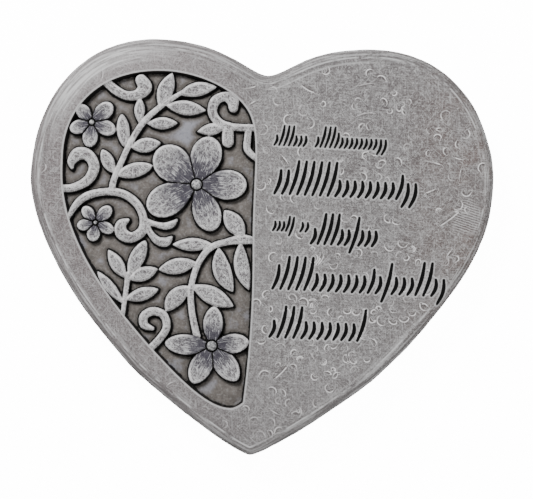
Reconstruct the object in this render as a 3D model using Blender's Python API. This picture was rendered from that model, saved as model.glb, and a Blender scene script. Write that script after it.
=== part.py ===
"""Memorial stepping stone: a heart-shaped slab cast in one piece.

The left half of its face is a sunk panel with flowers, leaves and scrolls in relief.
The right half has five rows of shallow strokes. The stone lies on its flat underside.

Metres, +Z up out of the face, +Y towards the cleft of the heart, origin in the middle
of the underside.
"""

from math import atan2, cos, hypot, pi, radians, sin, sqrt

import bmesh
import bpy

# Sizes of the cast stone
STONE_WIDTH = 0.290
STONE_LENGTH = 0.258
STONE_THICKNESS = 0.027
SHOULDER_RADIUS = 0.0062

# Sizes of the sunk panel and of what stands in it, as distances below the face
PANEL_DEPTH = 0.0050
PETAL_BELOW_FACE = 0.0005
LEAF_BELOW_FACE = 0.0009
SCROLL_BELOW_FACE = 0.0006
STEM_BELOW_FACE = 0.0013
BEAD_BELOW_FACE = 0.0002

# How far the edges of each form lie below its top, and how wide the flat between them
# is, as a share of the form's width
PETAL_EDGE_DROP = 0.0008
PETAL_FLAT_SHARE = 0.78
LEAF_EDGE_DROP = 0.0010
LEAF_FLAT_SHARE = 0.66
SCROLL_EDGE_DROP = 0.0014
SCROLL_FLAT_SHARE = 0.55
STEM_EDGE_DROP = 0.0012
STEM_FLAT_SHARE = 0.50

# A petal's hollow, as a share of its width and at most this deep
PETAL_HOLLOW_SHARE = 0.11
PETAL_HOLLOW_MAX = 0.0022
# Where a petal starts and how much of a bead's top is rounded, as shares of its radius
PETAL_START_SHARE = 0.25
BEAD_DOME_SHARE = 0.65

# Sizes of the strokes that stand in for the inscription
STROKE_WIDTH = 0.0021
STROKE_DEPTH = 0.0008
STROKE_END_SHARE = 0.62

# The design is drawn on a sheet of 290 by 258 units, with its middle at the middle of
# the face, so that a unit is a millimetre at the real size and the carving keeps its
# place when the stone's width or length is changed.
SHEET_WIDTH = 290.0
SHEET_LENGTH = 258.0
SCALE_X = STONE_WIDTH / SHEET_WIDTH
SCALE_Y = STONE_LENGTH / SHEET_LENGTH
SCALE_MEAN = sqrt(SCALE_X * SCALE_Y)

# Steps along each stretch of an outline or a line
OUTLINE_STEPS = 10
RIM_STEPS = 8
SHOULDER_STEPS = 3
PETAL_STEPS = 6
LEAF_STEPS = 5
SCROLL_STEPS = 2
STROKE_STEPS = 2
BEAD_SIDES = 10
# How far along a half circle the rounded end of a scroll has its points
ROUND_END_REACHES = (0.62, 0.96)
# Half width of a petal or leaf at its foot and tip, in units of the design sheet
LEAST_HALF_WIDTH = 0.25

# How far cutters stand above the face, and how far the relief reaches into the floor
CUTTER_RISE = 0.004
STROKE_CUTTER_RISE = 0.001
RELIEF_ROOT = 0.0015
# Neighbouring forms differ this much in level, so that no two share a plane
LEVEL_STEP = 0.00001

# Right half of the heart from the cleft to the tip: handle, anchor, handle
HEART_HALF = [
    ((-10.0, 109.5), (0.0, 109.5), (10.0, 109.5)),
    ((25.0, 129.0), (68.0, 129.0), (114.5, 129.0)),
    ((145.0, 91.5), (145.0, 42.5), (145.0, 10.0)),
    ((123.0, -29.0), (79.0, -75.0), (68.0, -86.5)),
    ((10.0, -129.0), (0.0, -129.0), (-10.0, -129.0)),
]

# Rim of the panel, clockwise from its left side: handle, anchor, handle
PANEL_RIM = [
    ((-124.3, 32.0), (-124.3, 54.0), (-124.3, 82.0)),
    ((-104.5, 108.2), (-62.8, 108.2), (-40.4, 108.2)),
    ((-14.8, 96.9), (-8.6, 81.7), (-2.4, 66.4)),
    ((-6.0, 41.2), (-3.9, 0.0), (-1.6, -45.0)),
    ((-4.2, -78.8), (-5.6, -95.0), (-7.3, -96.5)),
    ((-10.5, -98.9), (-13.5, -98.9), (-24.0, -98.9)),
    ((-38.0, -90.9), (-69.3, -58.1), (-125.0, 0.2)),
]

# Flowers: centre, radius of the bead, how far out a petal is widest, bluntness of its
# tip, and the petals as angle from +X in degrees, length and width
FLOWERS = [
    ((-107.5, 74.5), 1.5, 0.60, 1.0,
     [(132, 13.5, 8.4), (44, 16.8, 10.2), (-19.5, 15.8, 9.4), (-93, 15.6, 9.4), (203, 14.3, 8.5)]),
    ((-102.3, 12.3), 1.1, 0.60, 1.0,
     [(130, 12.2, 7.2), (48, 13.6, 7.8), (-24, 12.4, 7.2), (-97, 11.8, 8.0), (195, 11.6, 7.0)]),
    ((-40.7, 38.8), 3.1, 0.62, 1.0,
     [(142, 32.5, 22.0), (74, 30.8, 19.0), (2, 31.2, 18.4), (-67, 30.5, 17.0), (210.5, 34.0, 20.0)]),
    ((-26.6, -61.0), 3.0, 0.55, 1.2,
     [(89, 24.5, 12.2), (9, 23.4, 12.2), (-50.8, 26.6, 14.0), (-115, 26.0, 13.6), (179.4, 29.0, 12.6)]),
]

# Leaves: foot, tip, width, how far the middle is bent to the left, bluntness
LEAVES = [
    ((-92.5, 43.5), (-100.3, 57.8), 7.8, 0.0, 0.65),
    ((-90.5, 42.5), (-68.5, 49.2), 9.2, 0.0, 0.62),
    ((-86.3, 60.0), (-89.2, 80.4), 8.0, 0.0, 0.60),
    ((-82.5, 60.0), (-64.0, 63.5), 9.2, 0.0, 0.75),
    ((-78.0, 75.5), (-78.3, 91.0), 6.6, 0.0, 0.75),
    ((-73.0, 75.2), (-54.2, 76.4), 7.6, 0.0, 0.80),
    ((-66.3, 86.0), (-58.8, 107.6), 9.8, 0.0, 0.85),
    ((-62.0, 87.0), (-36.8, 85.0), 9.2, 0.0, 0.85),
    ((-54.5, 94.2), (-30.8, 99.9), 8.8, 0.9, 0.85),
    ((-24.0, 75.3), (-41.8, 71.6), 7.4, 0.0, 0.85),
    ((-9.6, 7.6), (-22.6, 23.6), 11.2, 0.0, 0.75),
    ((-29.0, 2.0), (-53.8, 0.8), 8.2, 0.0, 0.75),
    ((-38.5, -9.7), (-61.7, -15.2), 9.9, 0.0, 0.75),
    ((-42.0, -25.0), (-55.9, -40.8), 10.4, -1.6, 0.65),
    ((-40.5, -24.0), (-14.2, -35.9), 11.2, 0.0, 0.80),
    ((-25.0, 0.0), (-15.0, -26.8), 11.2, -2.4, 0.72),
    ((-11.6, 4.0), (-4.9, -25.3), 9.6, -2.0, 0.75),
    ((-82.0, -21.5), (-93.7, -4.3), 8.3, 0.0, 0.82),
    ((-80.0, -19.0), (-70.7, 2.5), 9.4, 0.0, 0.65),
    ((-80.0, -22.0), (-62.4, -14.7), 8.6, 0.0, 0.75),
    ((-81.5, -34.5), (-61.2, -27.4), 8.2, 0.0, 0.75),
    ((-82.5, -37.5), (-100.0, -17.8), 6.2, 0.0, 0.75),
]

# Scrolls and stems: knots of their middle line as x, y and half the width
SCROLLS = [
    [(-99.5, 99.8, 2.7), (-93.5, 95.0, 2.8), (-86.5, 92.0, 2.8), (-79.5, 93.0, 3.3),
     (-75.5, 97.5, 4.4), (-78.0, 102.0, 3.6)],
    [(-126.5, 32.6, 2.3), (-117.5, 33.2, 2.5), (-108.5, 38.2, 3.0), (-104.8, 45.5, 3.3),
     (-106.3, 51.2, 3.4), (-110.5, 54.6, 3.7), (-115.5, 54.2, 3.9), (-118.9, 49.5, 2.6),
     (-118.5, 45.6, 1.0)],
    [(-119.5, 13.5, 1.0), (-115.8, 21.5, 2.0), (-109.0, 28.2, 2.4), (-98.0, 31.6, 2.3),
     (-86.5, 31.0, 2.5), (-77.5, 25.4, 2.5), (-72.8, 17.0, 2.5), (-73.0, 8.6, 3.0),
     (-79.5, 4.0, 3.2), (-85.6, 6.2, 3.9), (-86.4, 11.6, 3.2), (-82.4, 14.6, 1.2)],
    [(-72.0, 14.6, 2.2), (-65.5, 13.0, 1.7), (-59.5, 12.0, 2.2), (-55.0, 13.3, 2.1),
     (-51.9, 16.2, 0.7)],
    [(-71.0, 13.0, 1.8), (-67.5, 6.8, 1.9), (-63.0, 2.7, 2.6), (-58.0, 2.2, 2.8),
     (-54.6, 5.4, 0.8)],
    [(-3.5, 75.6, 2.2), (-20.0, 75.6, 2.3), (-28.6, 78.2, 2.6), (-32.8, 84.0, 2.9),
     (-31.6, 90.8, 3.1), (-26.0, 94.2, 2.9), (-20.8, 92.2, 3.8), (-20.0, 87.2, 2.8)],
    [(-9.6, 76.0, 2.0), (-10.3, 68.0, 2.2), (-9.8, 61.5, 2.2), (-3.0, 55.6, 1.8)],
    [(-22.6, 75.5, 3.0), (-22.6, 70.5, 3.6), (-22.4, 66.2, 3.6)],
    [(-66.5, -66.0, 2.3), (-59.5, -58.6, 2.3), (-55.2, -51.0, 2.4), (-57.3, -43.4, 2.5),
     (-64.0, -41.1, 2.6), (-69.4, -44.4, 2.7), (-69.2, -49.8, 2.6), (-64.0, -51.9, 1.3)],
]
STEMS = [
    [(-93.0, 32.2, 2.0), (-92.2, 39.0, 2.0), (-87.6, 51.5, 1.8), (-82.4, 64.0, 1.8),
     (-74.9, 76.5, 1.9), (-64.0, 87.2, 1.7), (-51.0, 96.4, 1.2)],
    [(-1.5, 5.2, 1.8), (-10.0, 6.0, 3.0), (-20.0, 4.0, 2.1), (-30.0, 0.0, 2.0),
     (-37.2, -10.0, 1.9), (-41.0, -25.0, 1.9), (-40.0, -40.0, 2.0), (-36.0, -55.5, 2.2)],
    [(-83.0, -46.5, 1.4), (-82.0, -36.0, 1.5), (-80.6, -19.0, 1.7)],
]

# Rows of strokes: left end, right end, base line, height of a low stroke, of a tall one,
# thickness as a share of STROKE_WIDTH, and the kinds of stroke from left to right
STROKE_ROWS = [
    (6.5, 24.5, 65.5, 6.0, 12.0, 0.70, "ltttlll"),
    (32.0, 74.0, 65.5, 6.0, 12.5, 0.70, "ltttmllllllllhh"),
    (8.0, 93.0, 35.5, 9.5, 20.5, 1.00, "mmttttttllllllllmhh"),
    (8.0, 18.8, 12.5, 5.5, 9.0, 0.70, "llltb"),
    (25.0, 28.2, 12.5, 5.5, 6.0, 0.70, "ll"),
    (32.0, 69.8, 5.5, 9.0, 18.5, 1.00, "ltttllblll"),
    (9.5, 113.0, -23.5, 10.0, 20.0, 1.00, "mttttlllllllmlblllttlh"),
    (9.0, 63.5, -53.5, 10.0, 19.0, 1.00, "ltttlllllllt"),
]
# Kinds of stroke: share of the way from low to tall, bend of the middle and how far the
# stroke hangs below the base line, both as shares of the low height
STROKE_KINDS = {
    "l": (0.00, 0.14, 0.00),
    "m": (0.45, 0.12, 0.00),
    "t": (1.00, 0.10, 0.00),
    "h": (0.00, 0.16, 0.50),
    "b": (0.85, 0.10, 0.50),
}
STROKE_LEAN = 0.24

FACE_Z = STONE_THICKNESS
FLOOR_Z = STONE_THICKNESS - PANEL_DEPTH


def clear_scene():
    for old in list(bpy.data.objects):
        bpy.data.objects.remove(old, do_unlink=True)


def on_stone(x, y):
    """Place of a point of the design sheet, in metres."""
    return x * SCALE_X, y * SCALE_Y


def stone_material():
    material = bpy.data.materials.new("cast_concrete")
    material.use_nodes = True
    shader = material.node_tree.nodes["Principled BSDF"]
    shader.inputs["Base Color"].default_value = (0.37, 0.36, 0.35, 1.0)
    shader.inputs["Roughness"].default_value = 0.88
    shader.inputs["Metallic"].default_value = 0.0
    return material


def flat_outline(name, knots, steps, low, high, collection):
    """Upright-walled solid between two heights, from a closed Bezier outline."""
    curve = bpy.data.curves.new(name, "CURVE")
    curve.dimensions = "2D"
    curve.fill_mode = "BOTH"
    curve.resolution_u = steps
    curve.extrude = (high - low) / 2
    spline = curve.splines.new("BEZIER")
    spline.bezier_points.add(len(knots) - 1)
    spline.use_cyclic_u = True
    for point, (before, anchor, after) in zip(spline.bezier_points, knots):
        point.handle_left_type = "FREE"
        point.handle_right_type = "FREE"
        point.co = (*on_stone(*anchor), 0.0)
        point.handle_left = (*on_stone(*before), 0.0)
        point.handle_right = (*on_stone(*after), 0.0)
    guide = bpy.data.objects.new(name + "_outline", curve)
    guide.location.z = (high + low) / 2
    collection.objects.link(guide)
    bpy.context.view_layer.update()
    evaluated = guide.evaluated_get(bpy.context.evaluated_depsgraph_get())
    mesh = bpy.data.meshes.new_from_object(evaluated)
    mesh.transform(guide.matrix_world)
    mesh.name = name
    bpy.data.objects.remove(guide, do_unlink=True)

    body = bmesh.new()
    body.from_mesh(mesh)
    bmesh.ops.remove_doubles(body, verts=body.verts, dist=1e-6)
    bmesh.ops.dissolve_limit(body, angle_limit=radians(0.05), verts=body.verts, edges=body.edges)
    bmesh.ops.recalc_face_normals(body, faces=body.faces)
    body.to_mesh(mesh)
    body.free()
    solid = bpy.data.objects.new(name, mesh)
    collection.objects.link(solid)
    return solid


def mirrored(half):
    """The whole heart, clockwise from the cleft, from its right half."""
    left = []
    for before, anchor, after in reversed(half[1:-1]):
        left.append(((-after[0], after[1]), (-anchor[0], anchor[1]), (-before[0], before[1])))
    return half + left


def round_shoulder(solid):
    """Round the edge between the face and the side."""
    body = bmesh.new()
    body.from_mesh(solid.data)
    top = max(vertex.co.z for vertex in body.verts)
    rim = [e for e in body.edges if all(abs(v.co.z - top) < 1e-6 for v in e.verts)]
    bmesh.ops.bevel(body, geom=rim, offset=SHOULDER_RADIUS, segments=SHOULDER_STEPS,
                    profile=0.5, affect="EDGES", clamp_overlap=False)
    body.to_mesh(solid.data)
    body.free()


def smooth_line(knots, steps):
    """Points of a smooth line through knots of x, y and half width."""
    line = []
    last = len(knots) - 1
    for i in range(last):
        a, b, c, d = knots[max(i - 1, 0)], knots[i], knots[i + 1], knots[min(i + 2, last)]
        for step in range(steps):
            t = step / steps
            line.append(tuple(
                0.5 * (2 * b[k] + (c[k] - a[k]) * t + (2 * a[k] - 5 * b[k] + 4 * c[k] - d[k]) * t * t
                       + (3 * b[k] - a[k] - 3 * c[k] + d[k]) * t ** 3)
                for k in range(3)))
    line.append(knots[-1])
    return line


def round_end(line):
    """Carry a band on past its far end in a half circle."""
    x, y, half = line[-1]
    run = hypot(x - line[-2][0], y - line[-2][1])
    ux, uy = (x - line[-2][0]) / run, (y - line[-2][1]) / run
    tip = []
    for reach in ROUND_END_REACHES:
        width = half * sqrt(1 - reach * reach)
        tip.append((x + ux * half * reach, y + uy * half * reach, width))
    return line + tip


def petal_line(centre, start, angle, length, width, widest, blunt):
    """Middle line of a petal, from the bead out to a rounded tip."""
    ux, uy = cos(radians(angle)), sin(radians(angle))
    line = []
    for step in range(PETAL_STEPS + 1):
        share = sin(0.5 * pi * step / PETAL_STEPS)
        reach = start + (length - start) * share
        out = reach / length
        if out < widest:
            half = 0.5 * width * sin(0.5 * pi * out / widest)
        else:
            half = 0.5 * width * (1 - ((out - widest) / (1 - widest)) ** 2) ** (0.5 * blunt)
        half = max(half, LEAST_HALF_WIDTH)
        line.append((centre[0] + ux * reach, centre[1] + uy * reach, half))
    return line


def leaf_line(foot, tip, width, bend, blunt):
    """Middle line of a leaf, bent sideways between its foot and its tip."""
    run_x, run_y = tip[0] - foot[0], tip[1] - foot[1]
    length = hypot(run_x, run_y)
    line = []
    for step in range(LEAF_STEPS + 1):
        share = 0.5 - 0.5 * cos(pi * step / LEAF_STEPS)
        side = bend * sin(pi * share)
        half = 0.5 * width * sin(pi * share) ** blunt
        line.append((foot[0] + run_x * share - run_y / length * side,
                     foot[1] + run_y * share + run_x / length * side,
                     max(half, LEAST_HALF_WIDTH)))
    return line


def band(name, line, section, collection):
    """Closed solid whose section runs along a line and takes its width from it.

    The section is a list of shares of the half width with heights in metres.
    """
    mesh = bpy.data.meshes.new(name)
    body = bmesh.new()
    rings = []
    last = len(line) - 1
    for i, (x, y, half) in enumerate(line):
        before, after = line[max(i - 1, 0)], line[min(i + 1, last)]
        heading = atan2(after[1] - before[1], after[0] - before[0])
        ring = []
        for across, height in section:
            px = x - sin(heading) * across * half
            py = y + cos(heading) * across * half
            ring.append(body.verts.new((*on_stone(px, py), height)))
        rings.append(ring)
    count = len(section)
    for ring, following in zip(rings, rings[1:]):
        for k in range(count):
            n = (k + 1) % count
            body.faces.new((ring[k], ring[n], following[n], following[k]))
    body.faces.new(list(reversed(rings[0])))
    body.faces.new(rings[-1])
    bmesh.ops.recalc_face_normals(body, faces=body.faces)
    body.to_mesh(mesh)
    body.free()
    solid = bpy.data.objects.new(name, mesh)
    collection.objects.link(solid)
    return solid


def raised_section(below_face, edge_drop, flat_share, hollow, extra_root):
    """Section of a raised form: upright sides, softened edges, a hollow in the middle."""
    top = FACE_Z - below_face
    root = FLOOR_Z - RELIEF_ROOT - extra_root
    section = [(-1.0, root), (-1.0, top - edge_drop), (-flat_share, top)]
    if hollow > 0:
        section.append((0.0, top - hollow))
    return section + [(flat_share, top), (1.0, top - edge_drop), (1.0, root)]


def add_relief(collection):
    """Everything that stands in the panel."""
    serial = 0

    def add_form(name, line, below_face, edge_drop, flat_share, hollow=0.0):
        nonlocal serial
        serial += 1
        section = raised_section(below_face, edge_drop, flat_share, hollow, LEVEL_STEP * serial)
        band(name, line, section, collection)

    for index, knots in enumerate(SCROLLS):
        add_form("scroll_%d" % (index + 1), round_end(smooth_line(knots, SCROLL_STEPS)),
                 SCROLL_BELOW_FACE + LEVEL_STEP * index, SCROLL_EDGE_DROP, SCROLL_FLAT_SHARE)
    for index, knots in enumerate(STEMS):
        add_form("stem_%d" % (index + 1), round_end(smooth_line(knots, SCROLL_STEPS)),
                 STEM_BELOW_FACE + LEVEL_STEP * index, STEM_EDGE_DROP, STEM_FLAT_SHARE)
    for index, (foot, tip, width, bend, blunt) in enumerate(LEAVES):
        add_form("leaf_%d" % (index + 1), leaf_line(foot, tip, width, bend, blunt),
                 LEAF_BELOW_FACE + LEVEL_STEP * index, LEAF_EDGE_DROP, LEAF_FLAT_SHARE)
    for index, (centre, bead, widest, blunt, petals) in enumerate(FLOWERS):
        for number, (angle, length, width) in enumerate(petals):
            start = PETAL_START_SHARE * bead
            hollow = min(PETAL_HOLLOW_MAX, PETAL_HOLLOW_SHARE * width * SCALE_MEAN)
            add_form("petal_%d_%d" % (index + 1, number + 1),
                     petal_line(centre, start, angle, length, width, widest, blunt),
                     PETAL_BELOW_FACE + LEVEL_STEP * number, PETAL_EDGE_DROP, PETAL_FLAT_SHARE,
                     hollow)
        add_bead("bead_%d" % (index + 1), centre, bead, collection)


def add_bead(name, centre, radius, collection):
    """Round post with a domed top in the middle of a flower."""
    top = FACE_Z - BEAD_BELOW_FACE
    root = FLOOR_Z - 2 * RELIEF_ROOT
    reach = radius * SCALE_MEAN
    body = bmesh.new()
    shape = bmesh.ops.create_cone(body, cap_ends=True, segments=BEAD_SIDES, radius1=reach,
                                  radius2=reach, depth=top - root)
    rim = {edge for vertex in shape["verts"] if vertex.co.z > 0 for edge in vertex.link_edges
           if all(end.co.z > 0 for end in edge.verts)}
    bmesh.ops.bevel(body, geom=list(rim), offset=BEAD_DOME_SHARE * reach, segments=2,
                    profile=0.5, affect="EDGES", clamp_overlap=False)
    mesh = bpy.data.meshes.new(name)
    body.to_mesh(mesh)
    body.free()
    post = bpy.data.objects.new(name, mesh)
    post.location = (*on_stone(*centre), 0.5 * (top + root))
    collection.objects.link(post)
    return post


def stroke_lines():
    """Middle lines of all the strokes, row by row, with half their widths."""
    lines = []
    for left, right, base, low, tall, thickness, kinds in STROKE_ROWS:
        pitch = (right - left) / (len(kinds) - 1)
        full_half = 0.5 * thickness * STROKE_WIDTH / SCALE_MEAN
        for number, kind in enumerate(kinds):
            rise, bend, hang = STROKE_KINDS[kind]
            foot_x = left + pitch * number - STROKE_LEAN * hang * low
            foot_y = base - hang * low
            run_y = (1 + hang) * low + rise * (tall - low)
            line = []
            for step in range(STROKE_STEPS + 1):
                share = step / STROKE_STEPS
                side = bend * low * sin(pi * share)
                half = full_half * (STROKE_END_SHARE + (1 - STROKE_END_SHARE) * sin(pi * share))
                line.append((foot_x + STROKE_LEAN * run_y * share + side,
                             foot_y + run_y * share, half))
            lines.append(line)
    return lines


def add_stroke_cutters(collection):
    """V-shaped cutters, as wide at the face as the strokes are."""
    spread = 1.0 + STROKE_CUTTER_RISE / STROKE_DEPTH
    section = [(0.0, FACE_Z - STROKE_DEPTH), (-spread, FACE_Z + STROKE_CUTTER_RISE),
               (spread, FACE_Z + STROKE_CUTTER_RISE)]
    for index, line in enumerate(stroke_lines()):
        band("stroke_%d" % (index + 1), line, section, collection)


def new_collection(name, hidden):
    collection = bpy.data.collections.new(name)
    bpy.context.scene.collection.children.link(collection)
    collection.hide_render = hidden
    return collection


def cut_or_join(solid, name, operation, operand):
    modifier = solid.modifiers.new(name, "BOOLEAN")
    modifier.operation = operation
    modifier.solver = "EXACT"
    if isinstance(operand, bpy.types.Collection):
        modifier.operand_type = "COLLECTION"
        modifier.collection = operand
    else:
        modifier.object = operand


def mark_as_tool(collection):
    for thing in collection.objects:
        thing.hide_render = True
        thing.display_type = "WIRE"


def main():
    clear_scene()
    parts = new_collection("memorial_stepping_stone", False)
    panel_tools = new_collection("panel_cutter", True)
    relief_tools = new_collection("relief_forms", True)
    stroke_tools = new_collection("stroke_cutters", True)

    stone = flat_outline("heart_stone", mirrored(HEART_HALF), OUTLINE_STEPS, 0.0, FACE_Z, parts)
    round_shoulder(stone)
    panel = flat_outline("panel", PANEL_RIM, RIM_STEPS, FLOOR_Z, FACE_Z + CUTTER_RISE, panel_tools)
    add_relief(relief_tools)
    add_stroke_cutters(stroke_tools)

    cut_or_join(stone, "sink_panel", "DIFFERENCE", panel)
    cut_or_join(stone, "raise_relief", "UNION", relief_tools)
    cut_or_join(stone, "cut_strokes", "DIFFERENCE", stroke_tools)
    for collection in (panel_tools, relief_tools, stroke_tools):
        mark_as_tool(collection)
    stone.data.materials.append(stone_material())


main()
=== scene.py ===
"""Looks of a heart-shaped memorial stepping stone, cast in concrete.

The cast surface is made as two closed meshes that fill the shape of the one casting:
the slab with its face, shoulder, sides and underside, and the sunk panel with its
relief. Lengths are in millimetres of the design sheet, on which the heart is 290 wide
and 258 long, and are turned into metres at the size of the loaded model.
"""

from math import cos, hypot, pi, radians, sin, sqrt

import bpy
import numpy as np
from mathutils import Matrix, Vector, noise
from mathutils.geometry import delaunay_2d_cdt


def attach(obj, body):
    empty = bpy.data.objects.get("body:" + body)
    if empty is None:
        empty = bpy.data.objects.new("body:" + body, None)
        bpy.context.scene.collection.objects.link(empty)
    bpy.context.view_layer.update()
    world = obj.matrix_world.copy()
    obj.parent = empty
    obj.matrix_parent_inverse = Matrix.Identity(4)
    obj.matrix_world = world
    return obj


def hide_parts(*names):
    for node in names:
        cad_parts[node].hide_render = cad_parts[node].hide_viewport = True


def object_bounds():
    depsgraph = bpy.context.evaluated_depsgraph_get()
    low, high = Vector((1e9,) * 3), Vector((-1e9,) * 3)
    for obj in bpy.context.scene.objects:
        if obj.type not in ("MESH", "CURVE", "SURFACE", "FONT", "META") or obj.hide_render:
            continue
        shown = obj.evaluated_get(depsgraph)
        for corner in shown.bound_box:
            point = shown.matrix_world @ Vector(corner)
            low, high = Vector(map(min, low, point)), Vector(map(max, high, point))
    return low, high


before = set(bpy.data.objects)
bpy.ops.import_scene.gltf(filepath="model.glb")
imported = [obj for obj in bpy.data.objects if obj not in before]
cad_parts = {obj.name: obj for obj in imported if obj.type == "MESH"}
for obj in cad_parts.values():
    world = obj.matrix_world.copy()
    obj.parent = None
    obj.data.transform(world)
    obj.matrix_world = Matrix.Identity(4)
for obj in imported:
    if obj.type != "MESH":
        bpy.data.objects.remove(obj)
CAD_LOW, CAD_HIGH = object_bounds()

# Sheet units and the stone's levels
SHEET_WIDTH = 290.0
SHEET_LENGTH = 258.0
METRES_X = (CAD_HIGH.x - CAD_LOW.x) / SHEET_WIDTH
METRES_Y = (CAD_HIGH.y - CAD_LOW.y) / SHEET_LENGTH
METRES_Z = 0.001
TOP = (CAD_HIGH.z - CAD_LOW.z) / METRES_Z
FACE = TOP - 0.25
PANEL_DEPTH = 5.0
FLOOR = TOP - PANEL_DEPTH
BED = FLOOR - 2.0
SHOULDER = 6.2
UNDER_EDGE = 1.2
RIM_ROUND = 0.2

# Relief
WALL = 0.8
RIM_WALL = 1.3
PETAL_GAP = 0.9
BEAD_GAP = 0.9
STEM_GAP = 0.5
EDGE_ROUND = 1.0
SCROLL_LEVEL = TOP - 0.6
STEM_LEVEL = TOP - 1.3
LEAF_LEVEL = TOP - 0.9
PETAL_LEVEL = TOP - 0.5
BEAD_LEVEL = TOP - 0.2
# Drop at the edge of every form, and the further one of leaves and scrolls with its width
EDGE_DROP = 0.7
PLANT_DROP = 0.9
LEAF_EDGE = 2.3
SCROLL_EDGE = 2.4
# Dish of a leaf, and of a petal as a share of its width and at most
LEAF_DISH = 0.35
PETAL_DISH_SHARE = 0.11
PETAL_DISH_MOST = 2.2
# How near a form's edge its own surface values begin
PETAL_MARGIN = 0.4
SCROLL_MARGIN = 0.3

# Unevenness of the casting: panel, face, sides and outline
GROUND_ROUGH = 0.30
FORM_ROUGH = 0.07
FACE_WAVE = 0.07
FACE_GRAIN = 0.06
FACE_SINK = 0.04
SIDE_ROUGH = 0.3
OUTLINE_ROUGH = 0.9

# Strokes
STROKE_HALF = 1.05
STROKE_DEPTH = 0.8
# How far around a stroke the distance to it is worked out
STROKE_REACH = 3.0

# Spacing of mesh points
RASTER = 0.3
TIGHT_GAP = 0.3
LINE_GAP = 0.45
FINE_GAP = 0.75
COARSE_GAP = 1.15
RIM_GAP = 0.8
OUTLINE_GAP = 1.2
# Share of a grid's gap that its points keep from the points before them
GRID_SHARE = 0.72
SIDE_RINGS = 12

# Distance given to what is out of reach, and the largest one kept as a surface value
FAR = 50.0
CLEAR = 6.0
# Direction towards the light over the sheet, and the step used to find the lee side
LIGHT_SIDE = (-0.51, 0.86)
LEE_STEP = 0.3
RANDOM_SEED = 7

# Right half of the heart from the cleft to the tip: handle, anchor, handle
HEART_HALF = [
    ((-10.0, 109.5), (0.0, 109.5), (10.0, 109.5)),
    ((25.0, 129.0), (68.0, 129.0), (114.5, 129.0)),
    ((145.0, 91.5), (145.0, 42.5), (145.0, 10.0)),
    ((123.0, -29.0), (79.0, -75.0), (68.0, -86.5)),
    ((10.0, -129.0), (0.0, -129.0), (-10.0, -129.0)),
]

# Rim of the panel, clockwise from its left side: handle, anchor, handle
PANEL_RIM = [
    ((-124.3, 32.0), (-124.3, 54.0), (-124.3, 82.0)),
    ((-104.5, 108.2), (-62.8, 108.2), (-40.4, 108.2)),
    ((-14.8, 96.9), (-8.6, 81.7), (-2.4, 66.4)),
    ((-6.0, 41.2), (-3.9, 0.0), (-1.6, -45.0)),
    ((-4.2, -78.8), (-5.6, -95.0), (-7.3, -96.5)),
    ((-10.5, -98.9), (-13.5, -98.9), (-24.0, -98.9)),
    ((-38.0, -90.9), (-69.3, -58.1), (-125.0, 0.2)),
]

# Flowers: centre, radius of the bead, how far out a petal is widest, bluntness of its
# tip, and the petals as angle from +X in degrees, length and width
FLOWERS = [
    ((-107.5, 74.5), 1.5, 0.60, 1.0,
     [(132, 13.5, 8.4), (44, 16.8, 10.2), (-19.5, 15.8, 9.4), (-93, 15.6, 9.4), (203, 14.3, 8.5)]),
    ((-102.3, 12.3), 1.1, 0.60, 1.0,
     [(130, 12.2, 7.2), (48, 13.6, 7.8), (-24, 12.4, 7.2), (-97, 11.8, 8.0), (195, 11.6, 7.0)]),
    ((-40.7, 38.8), 3.1, 0.62, 1.0,
     [(142, 32.5, 22.0), (74, 30.8, 19.0), (2, 31.2, 18.4), (-67, 30.5, 17.0), (210.5, 34.0, 20.0)]),
    ((-26.6, -61.0), 3.0, 0.55, 1.2,
     [(89, 24.5, 12.2), (9, 23.4, 12.2), (-50.8, 26.6, 14.0), (-115, 26.0, 13.6), (179.4, 29.0, 12.6)]),
]

# Leaves: foot, tip, width, how far the middle is bent to the left, bluntness
LEAVES = [
    ((-92.5, 43.5), (-100.3, 57.8), 7.8, 0.0, 0.65),
    ((-90.5, 42.5), (-68.5, 49.2), 9.2, 0.0, 0.62),
    ((-86.3, 60.0), (-89.2, 80.4), 8.0, 0.0, 0.60),
    ((-82.5, 60.0), (-64.0, 63.5), 9.2, 0.0, 0.75),
    ((-78.0, 75.5), (-78.3, 91.0), 6.6, 0.0, 0.75),
    ((-73.0, 75.2), (-54.2, 76.4), 7.6, 0.0, 0.80),
    ((-66.3, 86.0), (-58.8, 107.6), 9.8, 0.0, 0.85),
    ((-62.0, 87.0), (-36.8, 85.0), 9.2, 0.0, 0.85),
    ((-54.5, 94.2), (-30.8, 99.9), 8.8, 0.9, 0.85),
    ((-24.0, 75.3), (-41.8, 71.6), 7.4, 0.0, 0.85),
    ((-9.6, 7.6), (-22.6, 23.6), 11.2, 0.0, 0.75),
    ((-29.0, 2.0), (-53.8, 0.8), 8.2, 0.0, 0.75),
    ((-38.5, -9.7), (-61.7, -15.2), 9.9, 0.0, 0.75),
    ((-42.0, -25.0), (-55.9, -40.8), 10.4, -1.6, 0.65),
    ((-40.5, -24.0), (-14.2, -35.9), 11.2, 0.0, 0.80),
    ((-25.0, 0.0), (-15.0, -26.8), 11.2, -2.4, 0.72),
    ((-11.6, 4.0), (-4.9, -25.3), 9.6, -2.0, 0.75),
    ((-82.0, -21.5), (-93.7, -4.3), 8.3, 0.0, 0.82),
    ((-80.0, -19.0), (-70.7, 2.5), 9.4, 0.0, 0.65),
    ((-80.0, -22.0), (-62.4, -14.7), 8.6, 0.0, 0.75),
    ((-81.5, -34.5), (-61.2, -27.4), 8.2, 0.0, 0.75),
    ((-82.5, -37.5), (-100.0, -17.8), 6.2, 0.0, 0.75),
]

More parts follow.
